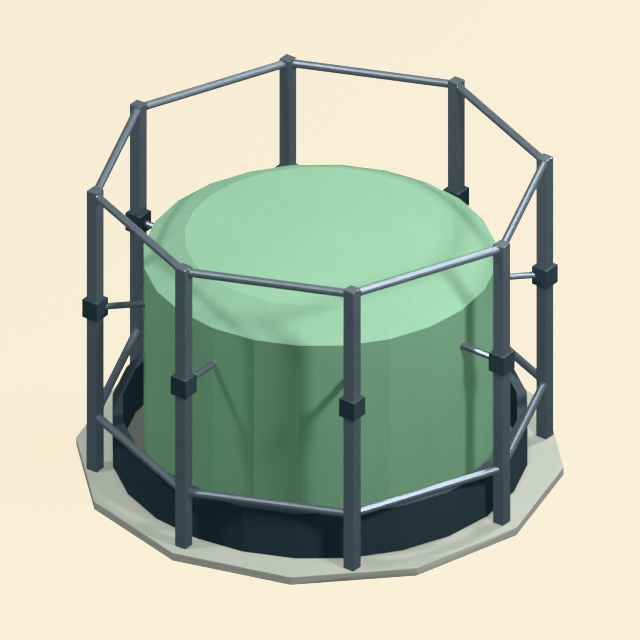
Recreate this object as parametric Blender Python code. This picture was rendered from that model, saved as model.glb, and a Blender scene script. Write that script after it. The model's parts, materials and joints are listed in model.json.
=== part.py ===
"""Water seal gas holder: a gas bell that rises in a ring tank, guided by eight braced posts.

Metres, +Z up. The origin is on the ground, at the centre of the underside of the foundation slab.
"""

import math

import bmesh
import bpy
from mathutils import Matrix, Vector

# Joints between fixed pieces are closed in the real plant. Here neighbours keep this gap.
GAP = 0.0003

# Foundation slab, a regular twelve-sided plate
SLAB_SIDES = 12
SLAB_RADIUS = 5.95
SLAB_THICKNESS = 0.23

# Tank, a low ring wall with 24 flat sides. Every radius here is measured to a corner.
RING_SIDES = 24
TANK_RADIUS = 5.06
TANK_WALL = 0.25
TANK_HEIGHT = 1.26
TANK_SEGMENTS = 4

# Gas bell, open below, with a shallow crown of one sloping ring and a nearly flat cap
BELL_RADIUS = 4.30
BELL_PLATE = 0.05
BELL_HEIGHT = 5.55
BELL_SEGMENTS = 4
CROWN_CREASE_RADIUS = 3.30
CROWN_CREASE_RISE = 0.52
CROWN_APEX_RISE = 0.82
CROWN_PLATE = 0.06
CROWN_SLOPE_SEGMENTS = 2

# Guide frame, eight square posts joined by rails at two heights. Rails and arms are bars with
# twelve flat sides, and their radius is measured to a corner.
BAR_SIDES = 12
POST_COUNT = 8
POST_CIRCLE = 5.50
POST_SIDE = 0.30
POST_HEIGHT = 7.85
RAIL_RADIUS = 0.105
TOP_RAIL_HEIGHT = 7.72
LOWER_RAIL_HEIGHT = 1.51

# Guides, square sleeves that slide on the posts and carry the bell on radial arms
COLLAR_SIDE = 0.455
COLLAR_HEIGHT = 0.50
COLLAR_CLEARANCE = 0.010
GUIDE_HEIGHT = 4.55
ARM_RADIUS = 0.085

FULL_TURN = 2 * math.pi
UP = Vector((0, 0, 1))


def paint(name, colour, roughness, metallic):
    material = bpy.data.materials.new(name)
    material.use_nodes = True
    shader = material.node_tree.nodes["Principled BSDF"]
    shader.inputs["Base Color"].default_value = (*colour, 1)
    shader.inputs["Roughness"].default_value = roughness
    shader.inputs["Metallic"].default_value = metallic
    material.diffuse_color = (*colour, 1)
    return material


def empty(name, parent=None, location=(0, 0, 0)):
    axis = bpy.data.objects.new(name, None)
    bpy.context.scene.collection.objects.link(axis)
    axis.parent = parent
    axis.location = location
    return axis


def part(name, bm, material, parent, location=(0, 0, 0)):
    """Makes one named object of the bmesh, with its origin at the location under its parent."""
    bmesh.ops.recalc_face_normals(bm, faces=bm.faces)
    mesh = bpy.data.meshes.new(name)
    bm.to_mesh(mesh)
    bm.free()
    obj = bpy.data.objects.new(name, mesh)
    bpy.context.scene.collection.objects.link(obj)
    if material:
        mesh.materials.append(material)
    obj.parent = parent
    obj.location = location
    return obj


def helper(obj):
    """Hides a shape that only cuts or joins another."""
    obj.hide_render = True
    obj.display_type = "WIRE"
    return obj


def boolean(obj, other, operation):
    modifier = obj.modifiers.new(operation.title(), "BOOLEAN")
    modifier.object = other
    modifier.operation = operation
    modifier.solver = "EXACT"


def around(radius, angle, height=0.0):
    return Vector((radius * math.cos(angle), radius * math.sin(angle), height))


def prism(sides, radius, low, high):
    """An upright prism with a corner on +X."""
    bm = bmesh.new()
    base = bmesh.ops.create_circle(bm, cap_ends=True, segments=sides, radius=radius)
    first_corner = math.atan2(base["verts"][0].co.y, base["verts"][0].co.x)
    bmesh.ops.rotate(bm, verts=bm.verts, cent=(0, 0, 0), matrix=Matrix.Rotation(-first_corner, 3, "Z"))
    raised = bmesh.ops.extrude_face_region(bm, geom=list(bm.faces))
    top = [v for v in raised["geom"] if isinstance(v, bmesh.types.BMVert)]
    bmesh.ops.translate(bm, verts=top, vec=UP * (high - low))
    bmesh.ops.translate(bm, verts=bm.verts, vec=UP * low)
    return bm


def ring_segment(profile, start, facets):
    """A run of flat sides that begins at the angle start, one profile turned facet by facet."""
    bm = bmesh.new()
    step = FULL_TURN / RING_SIDES
    section = bm.faces.new([bm.verts.new(around(radius, start, height)) for radius, height in profile])
    first = list(section.verts)
    turned = bmesh.ops.spin(
        bm,
        geom=[*first, *section.edges, section],
        cent=(0, 0, 0),
        axis=UP,
        angle=facets * step,
        steps=facets,
    )
    last = [v for v in turned["geom_last"] if isinstance(v, bmesh.types.BMVert)]
    along_first = (around(1, start + step) - around(1, start)).normalized()
    end = start + facets * step
    along_last = (around(1, end - step) - around(1, end)).normalized()
    bmesh.ops.translate(bm, verts=first, vec=along_first * GAP / 2)
    bmesh.ops.translate(bm, verts=last, vec=along_last * GAP / 2)
    return bm


def make_ring(name, count, profile, material, parent):
    """A whole ring of the profile, in equal segments that are numbered from +X."""
    for number in range(count):
        segment = ring_segment(profile, FULL_TURN * number / count, RING_SIDES // count)
        part(f"{name}_{number + 1}", segment, material, parent)


def upright(outer, thickness, low, high):
    """The profile of an upright wall, as (radius, height) pairs."""
    inner = outer - thickness
    return [(inner, low), (outer, low), (outer, high), (inner, high)]


def crown_slope(base):
    """The profile of the crown's sloping ring, from the bell's side in to the crease."""
    run_per_rise = (BELL_RADIUS - CROWN_CREASE_RADIUS) / CROWN_CREASE_RISE
    return [
        (BELL_RADIUS, base),
        (CROWN_CREASE_RADIUS, base + CROWN_CREASE_RISE),
        (CROWN_CREASE_RADIUS, base + CROWN_CREASE_RISE - CROWN_PLATE),
        (BELL_RADIUS - CROWN_PLATE * run_per_rise, base),
    ]


def crown_cap(base):
    """The nearly flat cap inside the crease, a low cone of plate in flat facets."""
    bm = bmesh.new()
    edge = CROWN_CREASE_RADIUS - GAP
    profile = [
        (0, base + CROWN_APEX_RISE),
        (edge, base + CROWN_CREASE_RISE),
        (edge, base + CROWN_CREASE_RISE - CROWN_PLATE),
        (0, base + CROWN_APEX_RISE - CROWN_PLATE),
    ]
    line = [bm.verts.new((radius, 0, height)) for radius, height in profile]
    edges = [bm.edges.new(pair) for pair in zip(line, line[1:])]
    bmesh.ops.spin(
        bm,
        geom=[*line, *edges],
        cent=(0, 0, 0),
        axis=UP,
        angle=FULL_TURN,
        steps=RING_SIDES,
        use_merge=True,
    )
    bmesh.ops.remove_doubles(bm, verts=bm.verts, dist=0.0001)
    return bm


def box(side, low, high):
    bm = bmesh.new()
    bmesh.ops.create_cube(bm, size=1)
    bmesh.ops.scale(bm, verts=bm.verts, vec=(side, side, high - low))
    bmesh.ops.translate(bm, verts=bm.verts, vec=UP * (low + high) / 2)
    return bm


def square_sleeve(outer, inner, height):
    """A square tube, centred on its own origin."""
    bm = bmesh.new()
    loops = []
    for side in (outer, inner):
        square = bmesh.ops.create_circle(bm, segments=4, radius=side / math.sqrt(2))
        bmesh.ops.rotate(
            bm, verts=square["verts"], cent=(0, 0, 0), matrix=Matrix.Rotation(math.pi / 4, 3, "Z")
        )
        loops += list({e for v in square["verts"] for e in v.link_edges})
    bmesh.ops.bridge_loops(bm, edges=loops)
    raised = bmesh.ops.extrude_face_region(bm, geom=list(bm.faces))
    top = [v for v in raised["geom"] if isinstance(v, bmesh.types.BMVert)]
    bmesh.ops.translate(bm, verts=top, vec=UP * height)
    bmesh.ops.translate(bm, verts=bm.verts, vec=UP * -height / 2)
    return bm


def bar(start, end, radius):
    """A level bar between two points, with one of its corners along the top."""
    bm = bmesh.new()
    span = end - start
    bmesh.ops.create_cone(
        bm, cap_ends=True, segments=BAR_SIDES, radius1=radius, radius2=radius, depth=span.length
    )
    along = span.normalized()
    turn = Matrix((UP.cross(along), UP, along)).transposed().to_4x4()
    bmesh.ops.transform(bm, verts=bm.verts, matrix=Matrix.Translation((start + end) / 2) @ turn)
    return bm


def trim(bm, point, outward):
    """Cuts off what lies beyond a plane and closes the cut."""
    every = list(bm.verts) + list(bm.edges) + list(bm.faces)
    cut = bmesh.ops.bisect_plane(bm, geom=every, plane_co=point, plane_no=outward, clear_outer=True)
    rim = [e for e in cut["geom_cut"] if isinstance(e, bmesh.types.BMEdge)]
    bmesh.ops.contextual_create(bm, geom=rim)


def post_angle(number):
    return FULL_TURN * number / POST_COUNT


def rail_between(number, height):
    """A rail from one post to the next, its ends cut flat against the faces that they meet."""
    start = around(POST_CIRCLE, post_angle(number), height)
    end = around(POST_CIRCLE, post_angle(number + 1), height)
    bm = bar(start, end, RAIL_RADIUS)
    span = end - start
    along = Vector((1, 0, 0)) if abs(span.x) > abs(span.y) else Vector((0, 1, 0))
    along *= math.copysign(1, span.dot(along))
    reach = POST_SIDE / 2 + GAP
    trim(bm, start + along * reach, -along)
    trim(bm, end - along * reach, along)
    return bm


def make_tank(frame):
    concrete = paint("slab_concrete", (0.51, 0.54, 0.475), 0.9, 0.0)
    tank_paint = paint("tank_paint", (0.088, 0.113, 0.129), 0.6, 0.0)
    part("foundation_slab", prism(SLAB_SIDES, SLAB_RADIUS, 0, SLAB_THICKNESS), concrete, frame)
    wall = upright(TANK_RADIUS, TANK_WALL, SLAB_THICKNESS + GAP, SLAB_THICKNESS + TANK_HEIGHT)
    make_ring("tank_wall", TANK_SEGMENTS, wall, tank_paint, frame)


def make_frame(frame):
    post_paint = paint("post_paint", (0.162, 0.197, 0.231), 0.6, 0.0)
    rail_steel = paint("rail_steel", (0.62, 0.775, 0.875), 0.36, 0.9)
    for number in range(POST_COUNT):
        place = around(POST_CIRCLE, post_angle(number))
        post = box(POST_SIDE, SLAB_THICKNESS + GAP, SLAB_THICKNESS + POST_HEIGHT)
        part(f"post_{number + 1}", post, post_paint, frame, place)
    for kind, height in (("top", TOP_RAIL_HEIGHT), ("lower", LOWER_RAIL_HEIGHT)):
        for number in range(POST_COUNT):
            rail = rail_between(number, SLAB_THICKNESS + height)
            part(f"{kind}_rail_{number + 1}", rail, rail_steel, frame)


def make_bell(bell):
    """The bell's pieces. Heights here are above the slab, where the bell's own empty stands."""
    bell_paint = paint("bell_paint", (0.278, 0.50, 0.331), 0.75, 0.0)
    wall = upright(BELL_RADIUS, BELL_PLATE, GAP, BELL_HEIGHT - GAP)
    make_ring("bell_wall", BELL_SEGMENTS, wall, bell_paint, bell)
    make_ring("crown_slope", CROWN_SLOPE_SEGMENTS, crown_slope(BELL_HEIGHT), bell_paint, bell)
    part("crown_cap", crown_cap(BELL_HEIGHT), bell_paint, bell)


def make_guides(bell):
    collar_paint = paint("guide_paint", (0.088, 0.113, 0.129), 0.6, 0.0)
    envelope = helper(part("bell_envelope", prism(RING_SIDES, BELL_RADIUS + GAP, 0, BELL_HEIGHT), None, bell))
    bore = POST_SIDE + 2 * COLLAR_CLEARANCE
    for number in range(POST_COUNT):
        angle = post_angle(number)
        place = around(POST_CIRCLE, angle, GUIDE_HEIGHT)
        on_corner = number % 2 == 1
        wall_middle = (COLLAR_SIDE + bore) / 4
        start = bore / math.sqrt(2) + 0.005 if on_corner else wall_middle
        inward = around(1, angle + math.pi)
        arm_bm = bar(inward * start, inward * (POST_CIRCLE - BELL_RADIUS + 0.2), ARM_RADIUS)
        arm = helper(part(f"arm_bar_{number + 1}", arm_bm, None, bell, place))
        collar = square_sleeve(COLLAR_SIDE, bore, COLLAR_HEIGHT)
        guide = part(f"guide_{number + 1}", collar, collar_paint, bell, place)
        boolean(guide, arm, "UNION")
        boolean(guide, envelope, "DIFFERENCE")


def main():
    for obj in list(bpy.data.objects):
        bpy.data.objects.remove(obj)
    frame = empty("tank_and_frame")
    bell = empty("bell", location=(0, 0, SLAB_THICKNESS))
    make_tank(frame)
    make_frame(frame)
    make_bell(bell)
    make_guides(bell)


main()
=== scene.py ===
"""Looks of the water seal gas holder: its paints, steel, concrete, water, welds, guide collars and arms.

Metres, +Z up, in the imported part's own frame. The origin is on the ground at the centre of the slab.
"""

import json
import math

import bmesh
import bpy
from mathutils import Matrix, Vector

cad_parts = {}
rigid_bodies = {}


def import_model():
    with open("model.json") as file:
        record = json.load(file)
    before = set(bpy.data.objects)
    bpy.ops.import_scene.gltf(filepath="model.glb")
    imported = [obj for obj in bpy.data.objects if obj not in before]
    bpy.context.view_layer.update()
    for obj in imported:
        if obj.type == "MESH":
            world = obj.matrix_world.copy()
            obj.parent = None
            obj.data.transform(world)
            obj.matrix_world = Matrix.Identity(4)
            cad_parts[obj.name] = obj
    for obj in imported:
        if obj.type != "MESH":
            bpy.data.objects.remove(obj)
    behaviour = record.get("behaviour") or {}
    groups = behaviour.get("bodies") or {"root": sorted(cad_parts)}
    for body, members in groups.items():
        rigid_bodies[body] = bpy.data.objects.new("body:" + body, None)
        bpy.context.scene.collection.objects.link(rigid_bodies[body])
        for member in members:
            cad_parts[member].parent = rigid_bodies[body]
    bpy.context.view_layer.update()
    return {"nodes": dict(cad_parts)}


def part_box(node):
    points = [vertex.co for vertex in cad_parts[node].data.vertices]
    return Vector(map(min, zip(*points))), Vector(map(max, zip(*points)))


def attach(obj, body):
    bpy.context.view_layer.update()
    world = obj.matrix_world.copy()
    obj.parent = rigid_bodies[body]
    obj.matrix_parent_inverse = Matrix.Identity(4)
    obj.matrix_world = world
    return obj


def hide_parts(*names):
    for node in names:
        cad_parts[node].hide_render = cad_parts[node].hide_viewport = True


# The photograph's view, taken square on with no perspective
FRAME_PIXELS = 640
PIXELS_PER_METRE = 41.3
VIEW_AZIMUTH = math.radians(-53.13)
VIEW_ELEVATION = math.radians(30.96)
VIEW_HEIGHT = 3.949
VIEW_DISTANCE = 40.0

# Studio lamps, each a round panel: name, place, watts and width
LAMP_TARGET = Vector((0, 0, 3.43))
LAMPS = (
    ("lamp_right", Vector((21.85, -5.04, 19.98)), 3110, 3.35),
    ("lamp_left", Vector((-20.45, -28.11, 47.32)), 8400, 5.35),
    ("lamp_back", Vector((8.52, 26.05, 39.84)), 8792, 7.6),
)
FILL_WATTS = 0.638 * math.pi
ROOM_GLOW = 0.081
BACKDROP = (1.0, 0.888, 0.682)
BACKDROP_GLOW = 1.65
FLOOR_RADIUS = 150.0
# Centre of the painted soft shadow on the floor beside the slab
FLOOR_SHADOW_SPOT = (-5.2, -3.6, 0)

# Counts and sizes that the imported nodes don't tell by their boxes
POST_COUNT = 8
RING_SIDES = 24
BAR_SIDES = 12
TANK_WALL = 0.25
CREASE_RADIUS = 3.30
CREASE_RISE = 0.52
ARM_RADIUS = 0.085
COLLAR_CLEARANCE = 0.010

# The metallic blue-black paint of the tank wall and the collars
DARK_PAINT = (0.130, 0.172, 0.193)

# Small things that only the dressed part has
WATER_DEPTH = 0.04
WATER_MARGIN = 0.003
COLLAR_CHAMFER = 0.003
RAIL_BEAD = 0.006
SEAM_BEAD = 0.0025
POST_EDGE = 0.002
SLAB_EDGE = 0.014

FULL_TURN = 2 * math.pi
UP = Vector((0, 0, 1))


def around(radius, angle, height=0.0):
    return Vector((radius * math.cos(angle), radius * math.sin(angle), height))


class Finish:
    """One painted, metal or mineral surface, built up from its shader and the patterns that feed it."""

    def __init__(self, name, roughness, metallic=0.0, centre=(0, 0, 0)):
        self.material = bpy.data.materials.new(name)
        self.material.use_nodes = True
        self.tree = self.material.node_tree
        self.shader = self.tree.nodes["Principled BSDF"]
        self.put(metallic, self.shader.inputs["Metallic"])
        self.put(roughness, self.shader.inputs["Roughness"])
        mapping = self.node("ShaderNodeMapping")
        mapping.inputs["Location"].default_value = [-value for value in centre]
        self.put(self.node("ShaderNodeTexCoord").outputs["Object"], mapping.inputs["Vector"])
        self.place = mapping.outputs["Vector"]

    def node(self, kind, **settings):
        made = self.tree.nodes.new(kind)
        for name, value in settings.items():
            setattr(made, name, value)
        return made

    def put(self, value, socket):
        """Sets a socket to a number or colour, or feeds it from another node."""
        if isinstance(value, bpy.types.NodeSocket):
            self.tree.links.new(value, socket)
        else:
            socket.default_value = value

    def stretched(self, scale):
        mapping = self.node("ShaderNodeMapping")
        mapping.inputs["Scale"].default_value = scale
        self.put(self.place, mapping.inputs["Vector"])
        return mapping.outputs["Vector"]

    def noise(self, scale, detail=3.0, rough=0.5, stretch=(1, 1, 1)):
        """A cloudy pattern with scale patches to the metre, from 0 to 1."""
        noise = self.node("ShaderNodeTexNoise")
        self.put(self.stretched(stretch), noise.inputs["Vector"])
        noise.inputs["Scale"].default_value = scale
        noise.inputs["Detail"].default_value = detail
        noise.inputs["Roughness"].default_value = rough
        return noise.outputs["Fac"]

    def steps(self, value, start, end, low=0.0, high=1.0):
        """Maps start..end of the value to low..high, held at both ends."""
        ranged = self.node("ShaderNodeMapRange")
        self.put(value, ranged.inputs["Value"])
        for name, number in (("From Min", start), ("From Max", end), ("To Min", low), ("To Max", high)):
            ranged.inputs[name].default_value = number
        return ranged.outputs["Result"]

    def sum_of(self, operation, first, second):
        maths = self.node("ShaderNodeMath", operation=operation)
        self.put(first, maths.inputs[0])
        self.put(second, maths.inputs[1])
        return maths.outputs["Value"]

    def axis(self, letter):
        parts = self.node("ShaderNodeSeparateXYZ")
        self.put(self.place, parts.inputs["Vector"])
        return parts.outputs[letter]

    def from_axle(self):
        """The distance of a point from the upright line through the finish's centre."""
        x, y = self.axis("X"), self.axis("Y")
        squares = self.sum_of("ADD", self.sum_of("MULTIPLY", x, x), self.sum_of("MULTIPLY", y, y))
        return self.sum_of("SQRT", squares, 0.0)

    def blend(self, share, first, second):
        """Colour first where the share is 0, second where it is 1."""
        mix = self.node("ShaderNodeMix", data_type="RGBA")
        self.put(share, mix.inputs["Factor"])
        for colour, socket in ((first, mix.inputs["A"]), (second, mix.inputs["B"])):
            self.put(colour if isinstance(colour, bpy.types.NodeSocket) else (*colour, 1), socket)
        return mix.outputs["Result"]

    def colour(self, value):
        self.put(value, self.shader.inputs["Base Color"])

    def roughness(self, value):
        self.put(value, self.shader.inputs["Roughness"])

    def relief(self, height, depth):
        """Raises the surface by depth metres where the height is 1."""
        bump = self.node("ShaderNodeBump")
        bump.inputs["Distance"].default_value = depth
        self.put(height, bump.inputs["Height"])
        self.put(bump.outputs["Normal"], self.shader.inputs["Normal"])


def shade(colour, factor):
    return tuple(channel * factor for channel in colour)


def concrete():
    """Cast concrete: pale, mottled, with fine pores and a band of painted shade round the foot of the tank
    wall.
    """
    finish = Finish("slab_concrete", 0.9)
    pale = (0.51, 0.54, 0.475)
    clouds = finish.steps(finish.noise(0.9, 5.0, 0.6), 0.3, 0.7)
    grain = finish.steps(finish.noise(55.0, 2.0, 0.6), 0.35, 0.75)
    body = finish.blend(clouds, shade(pale, 0.975), shade(pale, 1.025))
    speckled = finish.blend(finish.sum_of("MULTIPLY", grain, 0.25), body, shade(pale, 0.86))
    # Painted shade: the slab darkens in a narrow band round the foot of the tank wall
    wall_foot_shade = finish.steps(finish.from_axle(), 5.05, 5.16, 0.35, 0.0)
    finish.colour(finish.blend(wall_foot_shade, speckled, shade(pale, 0.72)))
    finish.roughness(finish.steps(grain, 0.0, 1.0, 0.86, 0.96))
    finish.relief(finish.noise(70.0, 4.0, 0.65), 0.0003)
    return finish.material


def worn_paint(name, paint, roughness, metallic=0.0, gloss=0.5, streaks=0.05, sheen_noise=0.05):
    """Brushed industrial paint: faded in broad clouds, rain-streaked downwards, with a fine orange peel."""
    finish = Finish(name, roughness, metallic)
    finish.shader.inputs["Specular IOR Level"].default_value = gloss
    clouds = finish.steps(finish.noise(0.5, 4.0, 0.55), 0.3, 0.7)
    runs = finish.steps(finish.noise(3.5, 3.0, 0.6, (1, 1, 0.06)), 0.45, 0.75)
    faded = finish.blend(clouds, shade(paint, 1 - streaks / 2), shade(paint, 1 + streaks / 2))
    finish.colour(finish.blend(finish.sum_of("MULTIPLY", runs, streaks), faded, shade(paint, 0.5)))
    low, high = roughness - sheen_noise, roughness + sheen_noise
    finish.roughness(finish.steps(finish.noise(6.0, 3.0, 0.6), 0.3, 0.7, low, high))
    finish.relief(finish.noise(90.0, 2.0, 0.5), 0.0003)
    return finish.material


def satin_steel(name, centre=(0, 0, 0)):
    """Blue-grey satin steel with faint drawing marks and handling smears."""
    steel = (0.70, 0.86, 0.98)
    finish = Finish(name, 0.345, 0.91, centre)
    smears = finish.steps(finish.noise(2.5, 4.0, 0.6), 0.3, 0.7)
    finish.colour(finish.blend(smears, shade(steel, 0.96), shade(steel, 1.02)))
    finish.roughness(finish.steps(smears, 0.0, 1.0, 0.335, 0.355))
    finish.relief(finish.noise(160.0, 2.0, 0.5), 0.000005)
    return finish.material


def murky_water():
    """Still seal water, clouded by rust and silt."""
    finish = Finish("seal_water", 0.3)
    silt = finish.steps(finish.noise(1.6, 5.0, 0.6), 0.3, 0.7)
    finish.colour(finish.blend(silt, (0.225, 0.25, 0.235), (0.265, 0.262, 0.24)))
    finish.relief(finish.noise(9.0, 2.0, 0.4), 0.001)
    return finish.material


def backdrop_paint():
    """The pale floor, glowing from within, with painted light that grows brighter to the right and a painted
    soft shadow beside the slab.
    """
    finish = Finish("backdrop_paint", 0.95, centre=FLOOR_SHADOW_SPOT)
    finish.colour((*shade(BACKDROP, 0.05), 1))
    finish.shader.inputs["Specular IOR Level"].default_value = 0.0
    clouds = finish.noise(0.05, 2.0)
    glow = finish.blend(clouds, shade(BACKDROP, 0.96), shade(BACKDROP, 0.955))
    finish.put(glow, finish.shader.inputs["Emission Color"])
    # Painted light: the floor's glow grows stronger from left to right
    slope = finish.steps(finish.axis("X"), -15.0, 20.0, 0.86 * BACKDROP_GLOW, 1.25 * BACKDROP_GLOW)
    # Painted shadow: a soft darker patch round a spot beside the slab
    painted_floor_shadow = finish.steps(finish.from_axle(), 0.5, 3.5, 0.84, 1.0)
    finish.put(finish.sum_of("MULTIPLY", slope, painted_floor_shadow), finish.shader.inputs["Emission Strength"])
    return finish.material


def finished(name, bm, material, body=None):
    """Turns a bmesh into a piece of the scene, at the origin, that moves with its body."""
    mesh = bpy.data.meshes.new(name)
    bm.to_mesh(mesh)
    bm.free()
    obj = bpy.data.objects.new(name, mesh)
    bpy.context.scene.collection.objects.link(obj)
    mesh.materials.append(material)
    if body:
        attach(obj, body)
    return obj


def bead(name, loops, radius, material, body):
    """Weld beads that follow loops of points, each a closed line if it is marked so."""
    curve = bpy.data.curves.new(name, "CURVE")
    curve.dimensions = "3D"
    curve.bevel_depth = radius
    curve.bevel_resolution = 2
    curve.use_fill_caps = True
    for points, closed in loops:
        spline = curve.splines.new("POLY")
        spline.points.add(len(points) - 1)
        for target, point in zip(spline.points, points):
            target.co = (*point, 1)
        spline.use_cyclic_u = closed
    curve.materials.append(material)
    obj = bpy.data.objects.new(name, curve)
    bpy.context.scene.collection.objects.link(obj)
    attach(obj, body)
    return obj


def collar(outer, bore, height):
    """A square sleeve of plate with chamfered edges, centred on its own origin."""
    bm = bmesh.new()
    bmesh.ops.create_grid(bm, x_segments=1, y_segments=1, size=outer / 2)
    plate = list(bm.faces)
    bmesh.ops.inset_individual(bm, faces=plate, thickness=(outer - bore) / 2, use_even_offset=True)
    bmesh.ops.delete(bm, geom=plate, context="FACES_ONLY")
    raised = bmesh.ops.extrude_face_region(bm, geom=list(bm.faces))
    top = [v for v in raised["geom"] if isinstance(v, bmesh.types.BMVert)]
    bmesh.ops.translate(bm, verts=top, vec=UP * height)
    bmesh.ops.translate(bm, verts=bm.verts, vec=UP * -height / 2)
    bmesh.ops.recalc_face_normals(bm, faces=bm.faces)
    edges = [e for e in bm.edges if e.calc_face_angle(0) > math.radians(30)]
    bmesh.ops.bevel(
        bm, geom=edges, offset=COLLAR_CHAMFER, affect="EDGES", segments=2, profile=0.5, material=-1
    )
    return bm


def bar(start, end, radius):
    """A level bar with twelve flat sides, one of its corners along the top."""
    bm = bmesh.new()
    span = end - start
    bmesh.ops.create_cone(
        bm, cap_ends=True, segments=BAR_SIDES, radius1=radius, radius2=radius, depth=span.length
    )
    along = span.normalized()
    turn = Matrix((UP.cross(along), UP, along)).transposed().to_4x4()
    bmesh.ops.transform(bm, verts=bm.verts, matrix=Matrix.Translation((start + end) / 2) @ turn)
    return bm


def post_middle(number):
    low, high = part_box(f"post_{number}")
    return (low + high) / 2


def post_side():
    low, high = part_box("post_1")
    return high.y - low.y


def make_camera():
    data = bpy.data.cameras.new("camera")
    data.type = "ORTHO"
    data.ortho_scale = FRAME_PIXELS / PIXELS_PER_METRE
    data.clip_end = 400.0
    camera = bpy.data.objects.new("camera", data)
    bpy.context.scene.collection.objects.link(camera)
    target = UP * VIEW_HEIGHT
    flat = math.cos(VIEW_ELEVATION)
    back = around(flat, VIEW_AZIMUTH, math.sin(VIEW_ELEVATION))
    camera.location = target + back * VIEW_DISTANCE
    camera.rotation_euler = (-back).to_track_quat("-Z", "Y").to_euler()
    bpy.context.scene.camera = camera


def make_lamps():
    for name, place, watts, width in LAMPS:
        data = bpy.data.lights.new(name, "AREA")
        data.shape = "DISK"
        data.size = width
        data.energy = watts
        lamp = bpy.data.objects.new(name, data)
        bpy.context.scene.collection.objects.link(lamp)
        lamp.location = place
        lamp.rotation_euler = (LAMP_TARGET - place).to_track_quat("-Z", "Y").to_euler()
        lamp.visible_camera = False
    make_fill()


def make_fill():
    """A whole sky of soft light that leaves no shadow, so that the deep places don't go black."""
    data = bpy.data.lights.new("sky_fill", "SUN")
    data.energy = FILL_WATTS
    data.angle = math.pi
    data.use_shadow = False
    data.specular_factor = 0.0
    data.cycles.use_multiple_importance_sampling = False
    fill = bpy.data.objects.new("sky_fill", data)
    bpy.context.scene.collection.objects.link(fill)
    fill.visible_camera = False
    fill.visible_glossy = False


def make_world():
    """A faint even glow for reflections, that the camera sees as the plain backdrop."""
    world = bpy.data.worlds.new("studio")
    world.use_nodes = True
    tree = world.node_tree
    link = tree.links.new
    glow = tree.nodes["Background"]
    rays = tree.nodes.new("ShaderNodeLightPath")
    mirrored = tree.nodes.new("ShaderNodeMath")
    mirrored.operation = "MULTIPLY"
    link(rays.outputs["Is Glossy Ray"], mirrored.inputs[0])
    mirrored.inputs[1].default_value = ROOM_GLOW
    seen = tree.nodes.new("ShaderNodeMix")
    seen.data_type = "RGBA"
    link(rays.outputs["Is Camera Ray"], seen.inputs["Factor"])
    link(mirrored.outputs["Value"], seen.inputs["A"])
    seen.inputs["B"].default_value = (*shade(BACKDROP, BACKDROP_GLOW), 1)
    link(seen.outputs["Result"], glow.inputs["Color"])
    bpy.context.scene.world = world


def make_floor():
    bm = bmesh.new()
    bmesh.ops.create_circle(bm, cap_ends=True, segments=96, radius=FLOOR_RADIUS)
    bmesh.ops.translate(bm, verts=bm.verts, vec=UP * -0.002)
    floor = finished("floor", bm, backdrop_paint())
    floor.visible_diffuse = False
    floor.visible_glossy = False


def dress(node, material):
    slots = frame["nodes"][node].material_slots
    slots[0].material = material


def soften(node, width):
    """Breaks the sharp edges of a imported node, whose loose faces are joined first."""
    obj = frame["nodes"][node]
    weld = obj.modifiers.new("Weld", "WELD")
    weld.merge_threshold = 0.0001
    edge = obj.modifiers.new("Edge", "BEVEL")
    edge.width = width
    edge.segments = 2
    edge.limit_method = "ANGLE"
    edge.angle_limit = math.radians(30)


def dress_tank():
    dress("foundation_slab", concrete())
    soften("foundation_slab", SLAB_EDGE)
    paint = worn_paint("tank_paint", DARK_PAINT, 0.58, 0.46)
    for number in range(1, 5):
        dress(f"tank_wall_{number}", paint)


def dress_posts():
    """Each post has its own paint, whose wear is centred on that post. Returns the paints by post number."""
    paints = {}
    for number in range(1, POST_COUNT + 1):
        centre = post_middle(number)
        paints[number] = satin_steel(f"post_steel_{number}", centre)
        dress(f"post_{number}", paints[number])
        soften(f"post_{number}", POST_EDGE)
    return paints


def dress_rails(steel):
    for kind in ("top", "lower"):
        for number in range(1, POST_COUNT + 1):
            dress(f"{kind}_rail_{number}", steel)


def dress_bell(side_paint, crown_paint):
    for node in frame["nodes"]:
        if node.startswith("bell_wall"):
            dress(node, side_paint)
        if node.startswith("crown"):
            dress(node, crown_paint)


def make_water():
    """The seal's water, a shallow sheet over the slab that the bell stands in."""
    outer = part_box("tank_wall_1")[1].x
    bm = bmesh.new()
    reach = outer - TANK_WALL - WATER_MARGIN
    ring = bmesh.ops.create_circle(bm, cap_ends=True, segments=RING_SIDES, radius=reach)
    first = ring["verts"][0].co
    turn = Matrix.Rotation(-math.atan2(first.y, first.x), 3, "Z")
    bmesh.ops.rotate(bm, verts=bm.verts, cent=(0, 0, 0), matrix=turn)
    raised = bmesh.ops.extrude_face_region(bm, geom=list(bm.faces))
    top = [v for v in raised["geom"] if isinstance(v, bmesh.types.BMVert)]
    bmesh.ops.translate(bm, verts=top, vec=UP * WATER_DEPTH)
    bmesh.ops.translate(bm, verts=bm.verts, vec=UP * (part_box("foundation_slab")[1].z + 0.001))
    bmesh.ops.recalc_face_normals(bm, faces=bm.faces)
    finished("seal_water", bm, murky_water(), "tank_and_frame")


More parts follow.
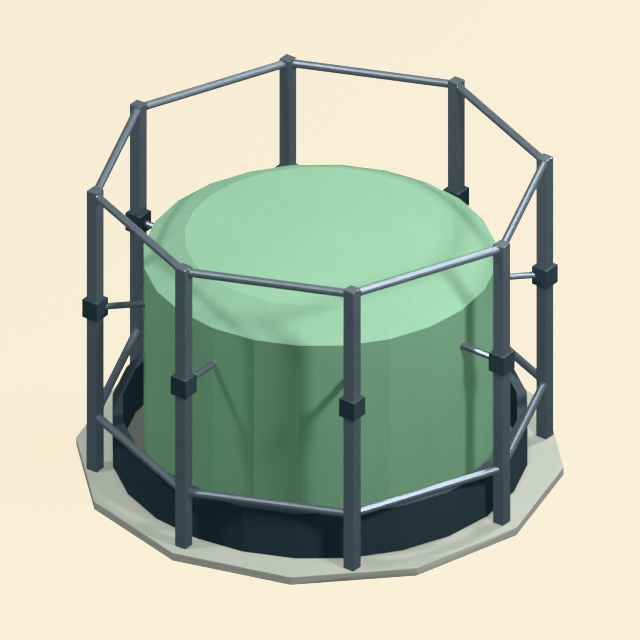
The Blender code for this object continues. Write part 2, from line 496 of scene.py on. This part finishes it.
def make_guides(steel):
    """The sleeves that slide on the posts, and the tubes that carry the bell on them."""
    paint = worn_paint("guide_paint", DARK_PAINT, 0.58, 0.46)
    bore = post_side() + 2 * COLLAR_CLEARANCE
    bell_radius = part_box("bell_wall_1")[1].x
    for number in range(1, POST_COUNT + 1):
        node = f"guide_{number}"
        low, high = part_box(node)
        middle = post_middle(number)
        middle.z = (low.z + high.z) / 2
        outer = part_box("guide_1")[1].y * 2
        bm = collar(outer, bore, high.z - low.z)
        bmesh.ops.translate(bm, verts=bm.verts, vec=middle)
        sleeve = finished(f"collar_{number}", bm, paint, "bell")
        inward = -Vector((middle.x, middle.y, 0)).normalized()
        on_corner = number % 2 == 0
        start = bore / math.sqrt(2) + 0.006 if on_corner else (outer + bore) / 4
        end = Vector((middle.x, middle.y, 0)).length - bell_radius + 0.025
        arm = finished(
            f"arm_{number}",
            bar(middle + inward * start, middle + inward * end, ARM_RADIUS),
            steel,
            "bell",
        )
        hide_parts(node)
        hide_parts(node)


def hide_from_mirrors():
    """No piece shows up in another's satin surface: the steel mirrors only the studio's even glow."""
    for obj in bpy.context.scene.objects:
        if obj.type in ("MESH", "CURVE"):
            obj.visible_glossy = False


def rail_ring(centre, normal, along, radius):
    """Where a rail that runs along one line meets a flat face, as a closed loop of its corners."""
    across = UP.cross(along).normalized()
    points = []
    for step in range(BAR_SIDES):
        turn = FULL_TURN * step / BAR_SIDES
        edge = centre + (across * math.cos(turn) + UP * math.sin(turn)) * radius
        points.append(edge - along * (edge - centre).dot(normal) / along.dot(normal))
    return points, True


def make_rail_beads(paints):
    """The weld round each end of each rail, where it meets its post."""
    radius = (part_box("top_rail_1")[1].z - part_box("top_rail_1")[0].z) / 2
    for number in range(1, POST_COUNT + 1):
        here = post_middle(number)
        loops = []
        before = (number - 2) % POST_COUNT + 1
        after = number % POST_COUNT + 1
        for other, rail in ((after, number), (before, before)):
            span = post_middle(other) - here
            along = span.normalized()
            axis = Vector((1, 0, 0)) if abs(span.x) > abs(span.y) else Vector((0, 1, 0))
            normal = axis * math.copysign(1, span.dot(axis))
            for kind in ("top", "lower"):
                low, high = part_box(f"{kind}_rail_{rail}")
                level = Vector((here.x, here.y, (low.z + high.z) / 2))
                face = level + along * (post_side() / 2 / along.dot(normal))
                loops.append(rail_ring(face, normal, along, radius))
        bead(f"rail_welds_{number}", loops, RAIL_BEAD, paints[number], "tank_and_frame")


def make_arm_beads(paint):
    """The weld round each arm where it meets the corner between two plates of the bell."""
    bell_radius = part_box("bell_wall_1")[1].x
    lean = math.tan(math.pi / RING_SIDES)
    loops = []
    for number in range(1, POST_COUNT + 1):
        middle = post_middle(number)
        low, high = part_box(f"guide_{number}")
        outward = Vector((middle.x, middle.y, 0)).normalized()
        across = UP.cross(outward)
        points = []
        for step in range(BAR_SIDES):
            turn = FULL_TURN * step / BAR_SIDES
            side = ARM_RADIUS * math.cos(turn)
            level = (low.z + high.z) / 2 + ARM_RADIUS * math.sin(turn)
            points.append(outward * (bell_radius - abs(side) * lean) + across * side + UP * level)
        loops.append((points, True))
    bead("arm_welds", loops, RAIL_BEAD, paint, "bell")


def make_bell_seams(paint):
    """Welded seams: upright at each corner of the bell, round its shoulder and crease, and up the slope."""
    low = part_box("bell_wall_1")[0].z
    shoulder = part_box("bell_wall_1")[1].z
    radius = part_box("bell_wall_1")[1].x
    crease = shoulder + CREASE_RISE
    corners = [FULL_TURN * step / RING_SIDES for step in range(RING_SIDES)]
    uprights = [((around(radius, a, low + 0.01), around(radius, a, shoulder)), False) for a in corners]
    bead("bell_seams", uprights, SEAM_BEAD, paint, "bell")
    rings = [
        ([around(radius, a, shoulder) for a in corners], True),
        ([around(CREASE_RADIUS, a, crease) for a in corners], True),
    ]
    slopes = [((around(radius, a, shoulder), around(CREASE_RADIUS, a, crease)), False) for a in corners]
    bead("crown_seams", rings + slopes, SEAM_BEAD, paint, "bell")


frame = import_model()
make_camera()
make_lamps()
make_world()
make_floor()
dress_tank()
post_paints = dress_posts()
rail_steel = satin_steel("rail_steel")
dress_rails(rail_steel)
# One green paint in two copies: the wall copy is a little darker and less red than the crown's, as painted
# shade on the upright walls; its seams and arm welds share it
bell_paint = worn_paint("bell_paint", (0.262, 0.492, 0.318), 0.75, gloss=0.15)
crown_paint = worn_paint("crown_paint", (0.276, 0.499, 0.329), 0.75, gloss=0.15)
dress_bell(bell_paint, crown_paint)
make_water()
make_guides(rail_steel)
make_rail_beads(post_paints)
make_arm_beads(bell_paint)
make_bell_seams(bell_paint)
hide_from_mirrors()
bpy.context.scene.view_settings.view_transform = "Khronos PBR Neutral"
bpy.context.scene.cycles.diffuse_bounces = 0
